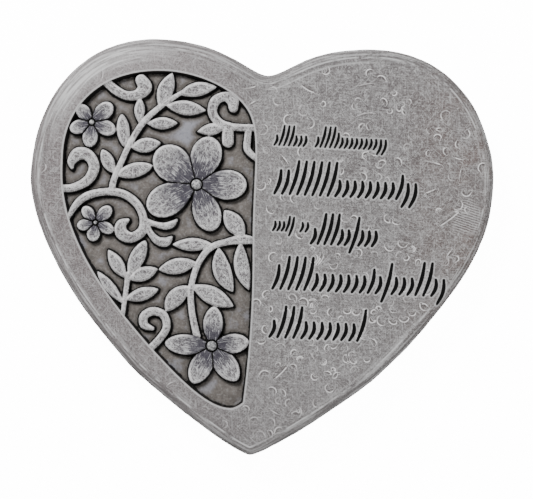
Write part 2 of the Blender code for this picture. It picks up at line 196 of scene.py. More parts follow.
# Scrolls and stems: knots of their middle line as x, y and half the width
SCROLLS = [
    [(-99.5, 99.8, 2.7), (-93.5, 95.0, 2.8), (-86.5, 92.0, 2.8), (-79.5, 93.0, 3.3),
     (-75.5, 97.5, 4.4), (-78.0, 102.0, 3.6)],
    [(-126.5, 32.6, 2.3), (-117.5, 33.2, 2.5), (-108.5, 38.2, 3.0), (-104.8, 45.5, 3.3),
     (-106.3, 51.2, 3.4), (-110.5, 54.6, 3.7), (-115.5, 54.2, 3.9), (-118.9, 49.5, 2.6),
     (-118.5, 45.6, 1.0)],
    [(-119.5, 13.5, 1.0), (-115.8, 21.5, 2.0), (-109.0, 28.2, 2.4), (-98.0, 31.6, 2.3),
     (-86.5, 31.0, 2.5), (-77.5, 25.4, 2.5), (-72.8, 17.0, 2.5), (-73.0, 8.6, 3.0),
     (-79.5, 4.0, 3.2), (-85.6, 6.2, 3.9), (-86.4, 11.6, 3.2), (-82.4, 14.6, 1.2)],
    [(-72.0, 14.6, 2.2), (-65.5, 13.0, 1.7), (-59.5, 12.0, 2.2), (-55.0, 13.3, 2.1),
     (-51.9, 16.2, 0.7)],
    [(-71.0, 13.0, 1.8), (-67.5, 6.8, 1.9), (-63.0, 2.7, 2.6), (-58.0, 2.2, 2.8),
     (-54.6, 5.4, 0.8)],
    [(-3.5, 75.6, 2.2), (-20.0, 75.6, 2.3), (-28.6, 78.2, 2.6), (-32.8, 84.0, 2.9),
     (-31.6, 90.8, 3.1), (-26.0, 94.2, 2.9), (-20.8, 92.2, 3.8), (-20.0, 87.2, 2.8)],
    [(-9.6, 76.0, 2.0), (-10.3, 68.0, 2.2), (-9.8, 61.5, 2.2), (-3.0, 55.6, 1.8)],
    [(-22.6, 75.5, 3.0), (-22.6, 70.5, 3.6), (-22.4, 66.2, 3.6)],
    [(-66.5, -66.0, 2.3), (-59.5, -58.6, 2.3), (-55.2, -51.0, 2.4), (-57.3, -43.4, 2.5),
     (-64.0, -41.1, 2.6), (-69.4, -44.4, 2.7), (-69.2, -49.8, 2.6), (-64.0, -51.9, 1.3)],
]
STEMS = [
    [(-93.0, 32.2, 2.0), (-92.2, 39.0, 2.0), (-87.6, 51.5, 1.8), (-82.4, 64.0, 1.8),
     (-74.9, 76.5, 1.9), (-64.0, 87.2, 1.7), (-51.0, 96.4, 1.2)],
    [(-1.5, 5.2, 1.8), (-10.0, 6.0, 3.0), (-20.0, 4.0, 2.1), (-30.0, 0.0, 2.0),
     (-37.2, -10.0, 1.9), (-41.0, -25.0, 1.9), (-40.0, -40.0, 2.0), (-36.0, -55.5, 2.2)],
    [(-83.0, -46.5, 1.4), (-82.0, -36.0, 1.5), (-80.6, -19.0, 1.7)],
]

# Rows of strokes: left end, right end, base line, height of a low stroke, of a tall one,
# thickness as a share of the full one, and the kinds of stroke from left to right
STROKE_ROWS = [
    (6.5, 24.5, 65.5, 6.0, 12.0, 0.70, "ltttlll"),
    (32.0, 74.0, 65.5, 6.0, 12.5, 0.70, "ltttmllllllllhh"),
    (8.0, 93.0, 35.5, 9.5, 20.5, 1.00, "mmttttttllllllllmhh"),
    (8.0, 18.8, 12.5, 5.5, 9.0, 0.70, "llltb"),
    (25.0, 28.2, 12.5, 5.5, 6.0, 0.70, "ll"),
    (32.0, 69.8, 5.5, 9.0, 18.5, 1.00, "ltttllblll"),
    (9.5, 113.0, -23.5, 10.0, 20.0, 1.00, "mttttlllllllmlblllttlh"),
    (9.0, 63.5, -53.5, 10.0, 19.0, 1.00, "ltttlllllllt"),
]
# Kinds of stroke: share of the way from low to tall, bend of the middle and how far the
# stroke hangs below the base line, both as shares of the low height
STROKE_KINDS = {
    "l": (0.00, 0.14, 0.00),
    "m": (0.45, 0.12, 0.00),
    "t": (1.00, 0.10, 0.00),
    "h": (0.00, 0.16, 0.50),
    "b": (0.85, 0.10, 0.50),
}
STROKE_LEAN = 0.24
STROKE_STEPS = 6
STROKE_END_SHARE = 0.62

# Raised marks scattered over the face: small curls and nearly straight scratches
CURL_TRIES = 1000
SCRATCH_TRIES = 150
MARK_RISE = 0.16
MARK_REACH = 0.5
MARK_SPACE = 1.5
MARK_CLEAR = 3.0
CURL_RADIUS = (1.7, 3.3)
CURL_SWEEP = (0.45, 1.35)
SCRATCH_RADIUS = (9.0, 40.0)
SCRATCH_LENGTH = (2.5, 9.0)
# A long scratch near the right edge: middle, radius, direction to it and half sweep
LONG_SCRATCH = (117.7, 24.5, 60.0, radians(40.0) - 0.5 * pi, 6.5 / 60.0)


# Outlines and lines of the design

def bezier_loop(knots, gap):
    """Closed outline through the anchors, as points about one gap apart."""
    points = []
    for index, (_, start, leave) in enumerate(knots):
        arrive, end, _ = knots[(index + 1) % len(knots)]
        a, b, c, d = (np.array(p, float) for p in (start, leave, arrive, end))
        t = np.linspace(0.0, 1.0, 400)[:, None]
        curve = (1 - t) ** 3 * a + 3 * (1 - t) ** 2 * t * b + 3 * (1 - t) * t * t * c + t ** 3 * d
        run = np.concatenate([[0.0], np.cumsum(np.hypot(*np.diff(curve, axis=0).T))])
        count = max(1, round(run[-1] / gap))
        stops = np.arange(count) / count * run[-1]
        points.append(np.column_stack([np.interp(stops, run, curve[:, 0]),
                                       np.interp(stops, run, curve[:, 1])]))
    return np.vstack(points)


def mirrored(half):
    left = []
    for before, anchor, after in reversed(half[1:-1]):
        left.append(((-after[0], after[1]), (-anchor[0], anchor[1]), (-before[0], before[1])))
    return half + left


def smooth_line(knots, steps):
    """Smooth line through knots of x, y and half width."""
    knots = np.array(knots, float)
    padded = np.vstack([knots[:1], knots, knots[-1:]])
    t = (np.arange(steps) / steps)[:, None]
    pieces = []
    for a, b, c, d in zip(padded, padded[1:], padded[2:], padded[3:]):
        pieces.append(0.5 * (2 * b + (c - a) * t + (2 * a - 5 * b + 4 * c - d) * t ** 2
                             + (3 * b - a - 3 * c + d) * t ** 3))
    pieces.append(knots[-1:])
    return np.vstack(pieces)


def petal_line(centre, angle, length, width, widest, blunt, steps=28):
    """Middle line of a petal with its half width, out to a rounded tip."""
    share = np.sin(0.5 * pi * np.arange(steps + 1) / steps)
    inner = 0.5 * width * np.sin(0.5 * pi * np.minimum(share / widest, 1.0))
    beyond = np.clip((share - widest) / (1 - widest), 0.0, 1.0)
    half = inner * (1 - beyond ** 2) ** (0.5 * blunt)
    return np.column_stack([centre[0] + cos(radians(angle)) * length * share,
                            centre[1] + sin(radians(angle)) * length * share, half])


def leaf_line(foot, tip, width, bend, blunt, steps=24):
    """Middle line of a leaf with its half width."""
    run = np.array(tip) - np.array(foot)
    length = hypot(*run)
    share = 0.5 - 0.5 * np.cos(pi * np.arange(steps + 1) / steps)
    side = bend * np.sin(pi * share)
    half = 0.5 * width * np.sin(pi * share) ** blunt
    return np.column_stack([foot[0] + run[0] * share - run[1] / length * side,
                            foot[1] + run[1] * share + run[0] / length * side, half])


def line_outline(line):
    """Closed outline of a band, from its middle line and half widths."""
    heading = np.gradient(line[:, :2], axis=0)
    heading /= np.maximum(np.hypot(*heading.T), 1e-9)[:, None]
    side = np.column_stack([-heading[:, 1], heading[:, 0]]) * line[:, 2:]
    return np.vstack([line[:, :2] + side, (line[:, :2] - side)[::-1]])


def outline_distance(outline, x, y):
    """Distance to a closed outline, negative inside."""
    nearest = np.full(x.shape, FAR * FAR)
    inside = np.zeros(x.shape, bool)
    for (ax, ay), (bx, by) in zip(outline, np.roll(outline, -1, axis=0)):
        rx, ry = bx - ax, by - ay
        size = rx * rx + ry * ry
        if size < 1e-12:
            continue
        px, py = x - ax, y - ay
        t = np.clip((px * rx + py * ry) / size, 0.0, 1.0)
        nearest = np.minimum(nearest, (px - t * rx) ** 2 + (py - t * ry) ** 2)
        if ay != by:
            inside ^= ((ay > y) != (by > y)) & (x < rx * (y - ay) / ry + ax)
    distance = np.sqrt(nearest)
    return np.where(inside, -distance, distance)


def line_distance(line, x, y):
    """Distance to a line of changing half width, negative inside."""
    nearest = np.full(x.shape, FAR)
    for (ax, ay, ah), (bx, by, bh) in zip(line, line[1:]):
        rx, ry = bx - ax, by - ay
        size = max(rx * rx + ry * ry, 1e-9)
        px, py = x - ax, y - ay
        t = np.clip((px * rx + py * ry) / size, 0.0, 1.0)
        reach = np.hypot(px - t * rx, py - t * ry) - (ah + (bh - ah) * t)
        nearest = np.minimum(nearest, reach)
    return nearest


def smoothstep(low, high, value):
    t = np.clip((value - low) / (high - low), 0.0, 1.0)
    return t * t * (3 - 2 * t)


def cast_noise(x, y, scale, octaves, shift):
    """Soft noise over the sheet, about -1 to 1."""
    return np.array([noise.fractal(Vector((a / scale, b / scale, shift)), 1.0, 2.1, octaves)
                     for a, b in zip(x.tolist(), y.tolist())])


# Fields of the relief

class Form:
    """One raised form: its kind, level, extent and how far a point is from it."""

    def __init__(self, kind, level, line, as_outline):
        self.kind = kind
        self.level = level
        self.shape = line_outline(line) if as_outline else line
        self.measure = outline_distance if as_outline else line_distance
        reach = line[:, 2].max() + 4.0
        self.low = line[:, :2].min(0) - reach
        self.high = line[:, :2].max(0) + reach

    def distance(self, x, y):
        found = np.full(x.shape, FAR)
        near = (x > self.low[0]) & (x < self.high[0]) & (y > self.low[1]) & (y < self.high[1])
        if near.any():
            found[near] = self.measure(self.shape, x[near], y[near])
        return found


def plant_forms():
    """The forms that aren't flowers: scrolls, stems and leaves."""
    forms = [Form("scroll", SCROLL_LEVEL, smooth_line(knots, 6), False) for knots in SCROLLS]
    forms += [Form("stem", STEM_LEVEL, smooth_line(knots, 6), False) for knots in STEMS]
    forms += [Form("leaf", LEAF_LEVEL, leaf_line(*leaf), True) for leaf in LEAVES]
    return forms


class Relief:
    """Heights and surface values of the sunk panel at any points."""

    def __init__(self):
        self.rim = bezier_loop(PANEL_RIM, RIM_GAP)
        self.plants = plant_forms()
        self.flowers = []
        for centre, bead, widest, blunt, petals in FLOWERS:
            shapes = [Form("petal", PETAL_LEVEL, petal_line(centre, *petal, widest, blunt), True)
                      for petal in petals]
            self.flowers.append((centre, bead, petals, shapes))

    def petal_edges(self, flower, x, y):
        """Distances to the petals of a flower, kept apart from each other and the bead."""
        centre, bead, _, shapes = flower
        raw = [shape.distance(x, y) for shape in shapes]
        ring = bead + BEAD_GAP - np.hypot(x - centre[0], y - centre[1])
        edges = []
        for index, own in enumerate(raw):
            others = np.min([d for k, d in enumerate(raw) if k != index], axis=0)
            edges.append(np.maximum(np.maximum(own, 0.5 * (own - others + PETAL_GAP)), ring))
        return edges

    def edge_at(self, x, y):
        """Distance to the nearest form of any kind, negative on it."""
        edge = np.full(len(x), FAR)
        for flower in self.flowers:
            edge = np.minimum(edge, np.min(self.petal_edges(flower, x, y), axis=0))
            edge = np.minimum(edge, np.hypot(x - flower[0][0], y - flower[0][1]) - flower[1])
        flowers = edge.copy()
        for form in self.plants:
            edge = np.minimum(edge, np.maximum(form.distance(x, y), STEM_GAP - flowers))
        return edge, flowers

    def at(self, x, y):
        """Height and surface values at points."""
        count = len(x)
        edge, flowers = self.edge_at(x, y)
        height = np.full(count, FLOOR)
        made = {key: np.zeros(count) for key in ("petal", "scroll", "out", "along", "across")}
        made["bead_away"] = np.full(count, CLEAR)
        for flower in self.flowers:
            centre, bead, petals, _ = flower
            for shaped, (angle, length, width) in zip(self.petal_edges(flower, x, y), petals):
                ux, uy = cos(radians(angle)), sin(radians(angle))
                along = (x - centre[0]) * ux + (y - centre[1]) * uy
                across = (y - centre[1]) * ux - (x - centre[0]) * uy
                hollow = np.clip(1 - (across / (0.5 * width)) ** 2, 0, 1) \
                    * smoothstep(1.0, 0.5, along / length)
                level = PETAL_LEVEL - min(PETAL_DISH_MOST, PETAL_DISH_SHARE * width) * hollow
                height = np.maximum(height, raised(level, shaped))
                for key, value in (("petal", 1.0), ("out", along / length),
                                   ("along", along), ("across", across)):
                    made[key] = np.where(shaped < PETAL_MARGIN, value, made[key])
            radius = np.hypot(x - centre[0], y - centre[1])
            share = np.clip(radius / bead, 0, 1)
            # A dome that falls by about 0.7 of its radius
            dome = BEAD_LEVEL - 1.1 * bead * (1 - np.sqrt(1 - 0.86 * share ** 2))
            height = np.maximum(height, raised(dome, radius - bead))
            made["bead_away"] = np.minimum(made["bead_away"], radius - bead)
        for form in self.plants:
            own = np.maximum(form.distance(x, y), STEM_GAP - flowers)
            level = form.level
            if form.kind == "leaf":
                level = level - PLANT_DROP * smoothstep(LEAF_EDGE, 0.1, -own) \
                    - LEAF_DISH * smoothstep(1.8, 3.6, -own)
            if form.kind == "scroll":
                level = level - PLANT_DROP * smoothstep(SCROLL_EDGE, 0.1, -own)
                made["scroll"][own < SCROLL_MARGIN] = 1.0
            height = np.maximum(height, raised(level, own))
        made["rim_away"] = outline_distance(self.rim, x, y)
        # Lee: how far a point lies on the side of a form, or of the rim, away from the light; the
        # panel's colours paint shade, shadow and highlights with it
        ahead_x, ahead_y = x + LEE_STEP * LIGHT_SIDE[0], y + LEE_STEP * LIGHT_SIDE[1]
        made["lee"] = np.clip((edge - self.edge_at(ahead_x, ahead_y)[0]) / LEE_STEP, -1, 1)
        ahead = outline_distance(self.rim, ahead_x, ahead_y)
        made["rim_lee"] = np.clip((ahead - made["rim_away"]) / LEE_STEP, -1, 1)
        wall = FLOOR + (FACE - RIM_ROUND - FLOOR) * smoothstep(-RIM_WALL, -0.05, made["rim_away"])
        made["height"] = np.maximum(height, wall)
        made["edge"] = edge
        return made


def raised(level, distance):
    """Height of a form with softened edges and steep sides."""
    top = level - EDGE_DROP * np.clip(1 + distance / EDGE_ROUND, 0, 1) ** 2
    return FLOOR + (top - FLOOR) * (1 - smoothstep(0.0, WALL, distance))


# Mesh points

def level_points(x_line, y_line, field, level):
    """Points where a gridded field passes a level, along the grid's lines."""
    found = []
    for a, b, step_x, step_y in ((field[:-1], field[1:], 0.0, RASTER),
                                 (field[:, :-1], field[:, 1:], RASTER, 0.0)):
        rows, columns = np.nonzero((a < level) != (b < level))
        share = (level - a[rows, columns]) / (b[rows, columns] - a[rows, columns])
        found.append(np.column_stack([x_line[columns] + share * step_x,
                                      y_line[rows] + share * step_y]))
    points = np.vstack(found)
    return points[np.lexsort((points[:, 1] // 5, points[:, 0] // 5))]


def raster(low, high, distance):
    """Lines of a grid over a box, and a distance worked out where they cross."""
    x_line = np.arange(low[0], high[0], RASTER)
    y_line = np.arange(low[1], high[1], RASTER)
    x, y = np.meshgrid(x_line, y_line)
    return x_line, y_line, distance(x.ravel(), y.ravel()).reshape(x.shape)


class Spread:
    """Collects points that keep a distance from the ones before them."""

    def __init__(self, cell=0.5):
        self.cell = cell
        self.cells = {}
        self.points = []

    def add(self, points, gap, forced=False):
        reach = int(gap / self.cell) + 1
        steps = [(i, j) for i in range(-reach, reach + 1) for j in range(-reach, reach + 1)]
        limit = gap * gap
        for x, y in points.tolist():
            column, row = int(x // self.cell), int(y // self.cell)
            near = (point for i, j in steps for point in self.cells.get((column + i, row + j), ()))
            if forced or all((px - x) ** 2 + (py - y) ** 2 >= limit for px, py in near):
                self.cells.setdefault((column, row), []).append((x, y))
                self.points.append((x, y))


def arc(x, y, radius, angle):
    return np.column_stack([x + radius * np.cos(angle), y + radius * np.sin(angle)])


def hexagonal(low, high, gap):
    rows = np.arange(low[1], high[1], gap * sqrt(0.75))
    points = []
    for number, y in enumerate(rows):
        x = np.arange(low[0] + 0.5 * gap * (number % 2), high[0], gap)
        points.append(np.column_stack([x, np.full(len(x), y)]))
    return np.vstack(points)


def offset_loop(loop, reach):
    """A closed loop moved outwards by a reach; the loops here run clockwise."""
    run = np.roll(loop, -1, axis=0) - np.roll(loop, 1, axis=0)
    run /= np.hypot(*run.T)[:, None]
    return loop + reach * np.column_stack([-run[:, 1], run[:, 0]])


def triangles_between(points, loops, wanted):
    """Triangles over the points whose middles the test wants, with the loops as edges."""
    edges = []
    for start, count in loops:
        edges += [(start + k, start + (k + 1) % count) for k in range(count)]
    result = delaunay_2d_cdt([Vector(p) for p in points], edges, [], 0, 1e-7, False)
    if len(result[0]) != len(points):
        raise RuntimeError("points were merged: %d of %d left" % (len(result[0]), len(points)))
    faces = np.array([tuple(f) for f in result[2]], int)
    placed = np.array([tuple(v) for v in result[0]])
    middle = placed[faces].mean(axis=1)
    faces = faces[wanted(middle[:, 0], middle[:, 1])]
    a, b, c = (placed[faces[:, k]] for k in range(3))
    turn = (b[:, 0] - a[:, 0]) * (c[:, 1] - a[:, 1]) - (b[:, 1] - a[:, 1]) * (c[:, 0] - a[:, 0])
    faces[turn < 0] = faces[turn < 0][:, ::-1]
    return placed, faces


def make_piece(name, points, faces, sharp_rings, values, material):
    """A mesh object from points in sheet units, with its surface values as attributes."""
    mesh = bpy.data.meshes.new(name)
    placed = np.array(points) * (METRES_X, METRES_Y, METRES_Z)
    placed[:, 2] += CAD_LOW.z
    placed[:, 0] += 0.5 * (CAD_LOW.x + CAD_HIGH.x)
    placed[:, 1] += 0.5 * (CAD_LOW.y + CAD_HIGH.y)
    mesh.from_pydata(placed.tolist(), [], [tuple(f) for f in faces])
    mesh.validate()
    mesh.polygons.foreach_set("use_smooth", [True] * len(mesh.polygons))
    ring_of = np.full(len(mesh.vertices), -1)
    for number, (start, count) in enumerate(sharp_rings):
        ring_of[start:start + count] = number
    ends = np.zeros(2 * len(mesh.edges), int)
    mesh.edges.foreach_get("vertices", ends)
    ends = ring_of[ends.reshape(-1, 2)]
    sharp = (ends[:, 0] >= 0) & (ends[:, 0] == ends[:, 1])
    mark = mesh.attributes.new("sharp_edge", "BOOLEAN", "EDGE")
    mark.data.foreach_set("value", sharp)
    for key, value in values.items():
        layer = mesh.attributes.new(key, "FLOAT", "POINT")
        layer.data.foreach_set("value", np.asarray(value, np.float32))
    mesh.materials.append(material)
    piece = bpy.data.objects.new(name, mesh)
    bpy.context.scene.collection.objects.link(piece)
    return piece


def ring_faces(upper, lower, count):
    """Quads between two rings of points that start at these numbers, facing outwards."""
    faces = []
    for k in range(count):
        n = (k + 1) % count
        faces.append((upper + k, upper + n, lower + n, lower + k))
    return faces


def loop_fill(loop):
    return triangles_between(loop, [(0, len(loop))],
                             lambda x, y: outline_distance(loop, x, y) < 0)[1]


# The panel

def panel_spots(relief):
    """Mesh points of the panel: rim and beads first, then denser along the forms' edges."""
    low = relief.rim.min(0) - 1.0
    high = relief.rim.max(0) + 1.0
    grid = raster(low, high, lambda x, y: relief.edge_at(x, y)[0])

    def inside(points, depth):
        return points[outline_distance(relief.rim, points[:, 0], points[:, 1]) < -depth]

    spread = Spread()
    spread.add(relief.rim, 0.0, forced=True)
    spread.add(offset_loop(relief.rim, -0.45), 0.4)
    for centre, bead, *_ in FLOWERS:
        for reach in (0.6 * bead, bead, bead + 0.5 * BEAD_GAP, bead + BEAD_GAP):
            steps = max(8, round(2 * pi * reach / LINE_GAP))
            turn = np.linspace(0, 2 * pi, steps, endpoint=False)
            spread.add(arc(*centre, reach, turn), TIGHT_GAP)
    for level in (0.0, WALL, 0.35, -0.5, 1.7):
        spread.add(inside(level_points(*grid, level), 0.35),
                   TIGHT_GAP if level == 0.35 else LINE_GAP)
    for depth in (RIM_WALL, 2.4):
        spread.add(offset_loop(relief.rim, -depth), LINE_GAP)
    spread.add(inside(hexagonal(low, high, FINE_GAP), 0.6), GRID_SHARE * FINE_GAP)
    return np.array(spread.points)


def build_panel(relief, material):
    rim = relief.rim
    count = len(rim)
    placed, faces = triangles_between(panel_spots(relief), [(0, count)],
                                      lambda x, y: outline_distance(rim, x, y) < 0)
    x, y = placed[:, 0], placed[:, 1]
    made = relief.at(x, y)
    ground = smoothstep(0.2, 1.6, made["edge"]) * smoothstep(-1.0, -2.4, made["rim_away"])
    forms = smoothstep(0.05, -0.6, made["edge"])
    height = made["height"] + ground * GROUND_ROUGH * cast_noise(x, y, 9.0, 3, 2.0)
    height = height + FORM_ROUGH * cast_noise(x, y, 2.2, 2, 5.0) * forms
    height = np.minimum(height, TOP - 0.05)
    height[:count] = FACE - RIM_ROUND

    # Closed by a skirt from the rim down to a flat bed
    total = len(placed)
    bed = np.column_stack([rim, np.full(count, BED)])
    whole = np.vstack([np.column_stack([x, y, height]), bed])
    all_faces = faces.tolist() + ring_faces(0, total, count)
    all_faces += (loop_fill(rim)[:, ::-1] + total).tolist()

    keys = ("petal", "scroll", "bead_away", "out", "along", "across", "lee", "rim_lee")
    values = {key: np.concatenate([made[key], np.zeros(count)]) for key in keys}
    edge = np.clip(made["edge"], -CLEAR, CLEAR)
    rim_away = np.clip(made["rim_away"], -CLEAR, 0)
    values["edge"] = np.concatenate([edge, np.full(count, CLEAR)])
    values["rim_away"] = np.concatenate([rim_away, np.full(count, -CLEAR)])
    sharp = [(0, count), (total, count)]
    return make_piece("stone_panel_relief", whole, all_faces, sharp, values, material)


# The slab

def stroke_lines():
    """Middle lines of all the strokes, row by row, with half their widths."""
    lines = []
    for left, right, base, low, tall, thickness, kinds in STROKE_ROWS:
        pitch = (right - left) / (len(kinds) - 1)
        for number, kind in enumerate(kinds):
            rise, bend, hang = STROKE_KINDS[kind]
            foot_x = left + pitch * number - STROKE_LEAN * hang * low
            foot_y = base - hang * low
            run_y = (1 + hang) * low + rise * (tall - low)
            share = np.arange(STROKE_STEPS + 1) / STROKE_STEPS
            side = bend * low * np.sin(pi * share)
            swell = STROKE_END_SHARE + (1 - STROKE_END_SHARE) * np.sin(pi * share)
            lines.append(np.column_stack([foot_x + STROKE_LEAN * run_y * share + side,
                                          foot_y + run_y * share,
                                          thickness * STROKE_HALF * swell]))
    return lines


def strokes_distance(lines, x, y):
    """Distance to the nearest stroke, negative inside it."""
    found = np.full(len(x), FAR)
    for line in lines:
        low, high = line[:, :2].min(0) - STROKE_REACH, line[:, :2].max(0) + STROKE_REACH
        spots = np.nonzero((x > low[0]) & (x < high[0]) & (y > low[1]) & (y < high[1]))[0]
        if len(spots):
            found[spots] = np.minimum(found[spots], line_distance(line, x[spots], y[spots]))
    return found


def face_marks(random, heart, rim):
    """Marks of the face: middle of the arc, its radius, its direction there, half sweep."""
    tries = CURL_TRIES + SCRATCH_TRIES
    x = random.uniform(-140, 140, tries)
    y = random.uniform(-125, 125, tries)
    curly = np.arange(tries) < CURL_TRIES
    radius = np.where(curly, random.uniform(*CURL_RADIUS, tries),
                      random.uniform(*SCRATCH_RADIUS, tries))
    length = random.uniform(*SCRATCH_LENGTH, tries)
    sweep = np.where(curly, random.uniform(*CURL_SWEEP, tries), 0.5 * length / radius)
    middle = random.uniform(-pi, pi, tries)
    reach = np.minimum(radius, 0.5 * length)
    wanted = (outline_distance(heart, x, y) < -(SHOULDER + reach + 1.0)) \
        & (outline_distance(rim, x, y) > reach + 1.2)
    # Few on the left border, more on the right half, most in its lower part
    right_side = smoothstep(-20, 20, x)
    low_side = smoothstep(30, -40, y)
    wanted &= random.uniform(0, 1, tries) < 0.22 + right_side * (0.22 + 0.56 * low_side)
    marks = [LONG_SCRATCH]
    taken = mark_line(marks[0])
    for mark in np.column_stack([x, y, radius, middle, sweep])[wanted].tolist():
        line = mark_line(mark)
        apart = np.hypot(taken[:, 0, None] - line[:, 0], taken[:, 1, None] - line[:, 1])
        if apart.min() > MARK_SPACE:
            marks.append(mark)
            taken = np.vstack([taken, line])
    return marks


def mark_line(mark, reach=0.0):
    """Points along a mark, or along a line beside it."""
    x, y, radius, middle, sweep = mark
    count = max(4, round(2 * sweep * radius / 0.6))
    angle = middle + sweep * np.linspace(-1, 1, count + 1)
    return arc(x - radius * cos(middle), y - radius * sin(middle), radius + reach, angle)


def marks_distance(marks, x, y):
    """Distance to the nearest mark's line, negative on its hollow side."""
    found = np.full(len(x), MARK_CLEAR)
    for px, py, radius, middle, sweep in marks:
        reach = radius * min(2 * sweep, 2.0) + 2.0
        spots = np.nonzero((np.abs(x - px) < reach) & (np.abs(y - py) < reach))[0]
        if len(spots) == 0:
            continue
        dx = x[spots] - px + radius * cos(middle)
        dy = y[spots] - py + radius * sin(middle)
        swing = np.abs((np.arctan2(dy, dx) - middle + pi) % (2 * pi) - pi)
        beyond = radius * np.maximum(swing - sweep, 0.0)
        outward = np.hypot(dx, dy) - radius
        away = np.hypot(outward, beyond)
        nearer = away < np.abs(found[spots])
        found[spots[nearer]] = np.copysign(away, outward)[nearer]
    return found


def face_spots(heart, rim, face_edge, marks, strokes):
    """Mesh points of the flat face: rim, outer edge, then denser along strokes and marks."""
    spread = Spread()
    spread.add(rim, 0.0, forced=True)
    spread.add(face_edge, 0.0, forced=True)
    low = np.min([line[:, :2].min(0) for line in strokes], axis=0) - STROKE_REACH
    high = np.max([line[:, :2].max(0) for line in strokes], axis=0) + STROKE_REACH
    grid = raster(low, high, lambda x, y: strokes_distance(strokes, x, y))

    def on_face(points, margin):
        x, y = points[:, 0], points[:, 1]
        kept = (outline_distance(heart, x, y) < -SHOULDER - margin) \
            & (outline_distance(rim, x, y) > margin)
        return points[kept]

    spread.add(offset_loop(rim, 0.6), 0.5)
    for level, gap in ((0.0, LINE_GAP), (0.35, TIGHT_GAP), (-0.5, LINE_GAP), (0.75, FINE_GAP)):
        spread.add(on_face(level_points(*grid, level), 0.4), gap)
    for reach in (0.0, MARK_REACH, -MARK_REACH):
        for mark in marks:
            spread.add(on_face(mark_line(mark, reach), 0.5), 0.4)
    spread.add(on_face(hexagonal(heart.min(0), heart.max(0), COARSE_GAP), 0.6),
               GRID_SHARE * COARSE_GAP)
    return np.array(spread.points)


def face_height(x, y, inset, rim_away, stroke_away, mark_away):
    """Level of the face: faint waves and grain, raised marks, cut strokes, worn rim."""
    wave = cast_noise(x, y, 14.0, 3, 1.0)
    grain = cast_noise(x, y, 2.6, 2, 3.0)
    free = smoothstep(SHOULDER, SHOULDER + 3.0, inset) * smoothstep(0.0, 1.5, rim_away)
    ridge = MARK_RISE * smoothstep(0.45, 0.0, np.abs(mark_away))
    height = FACE + free * (FACE_WAVE * wave + FACE_GRAIN * grain - FACE_SINK)
    height = height + ridge * smoothstep(0.3, 1.2, stroke_away)
    height = height - STROKE_DEPTH * smoothstep(0.0, -0.9, stroke_away)
    height = height - RIM_ROUND * smoothstep(0.7, 0.0, rim_away)
    return np.minimum(height, TOP - 0.01)


def slab_profile():
    """Inset and level of the rings down the shoulder, the side and the lower edge."""
    side_low, side_high = UNDER_EDGE, FACE - SHOULDER
    profile = [(SHOULDER * (1 - sin(a)), FACE - SHOULDER * (1 - cos(a)))
               for a in np.radians(np.arange(9, 91, 9))]
    profile += [(0.0, side_high + (side_low - side_high) * k / SIDE_RINGS)
                for k in range(1, SIDE_RINGS + 1)]
    profile += [(UNDER_EDGE * (1 - cos(a)), UNDER_EDGE * (1 - sin(a)))
                for a in np.radians((30, 60, 90))]
    return profile


def side_rings(heart, strokes, profile):
    """Points of the rings, uneven as cast, and their distances to the strokes."""
    x, y = heart[:, 0], heart[:, 1]
    inward = offset_loop(heart, -1.0) - heart
    uneven = OUTLINE_ROUGH * np.clip(0.5 + 0.5 * cast_noise(x, y, 24.0, 1, 4.0), 0, 1)
    rings = []
    ink_rings = []
    for depth, level in profile:
        rough = uneven * smoothstep(0.8 * SHOULDER, 0.2 * SHOULDER, depth)
        if 0 < level < FACE - 1.0:
            shaken = cast_noise(x, y, 7.0, 2, 9.0 + level / 7.0)
            rough = rough + SIDE_ROUGH * np.clip(0.5 + 0.5 * shaken, 0, 1)
        ring = offset_loop(heart, -depth) + inward * rough[:, None]
        ink = strokes_distance(strokes, ring[:, 0], ring[:, 1])
        if level < FACE - SHOULDER:
            ink = np.full(len(heart), CLEAR)
        ink_rings.append(ink)
        rings.append(np.column_stack([ring, level - STROKE_DEPTH * smoothstep(0.0, -0.9, ink)]))
    return rings, ink_rings


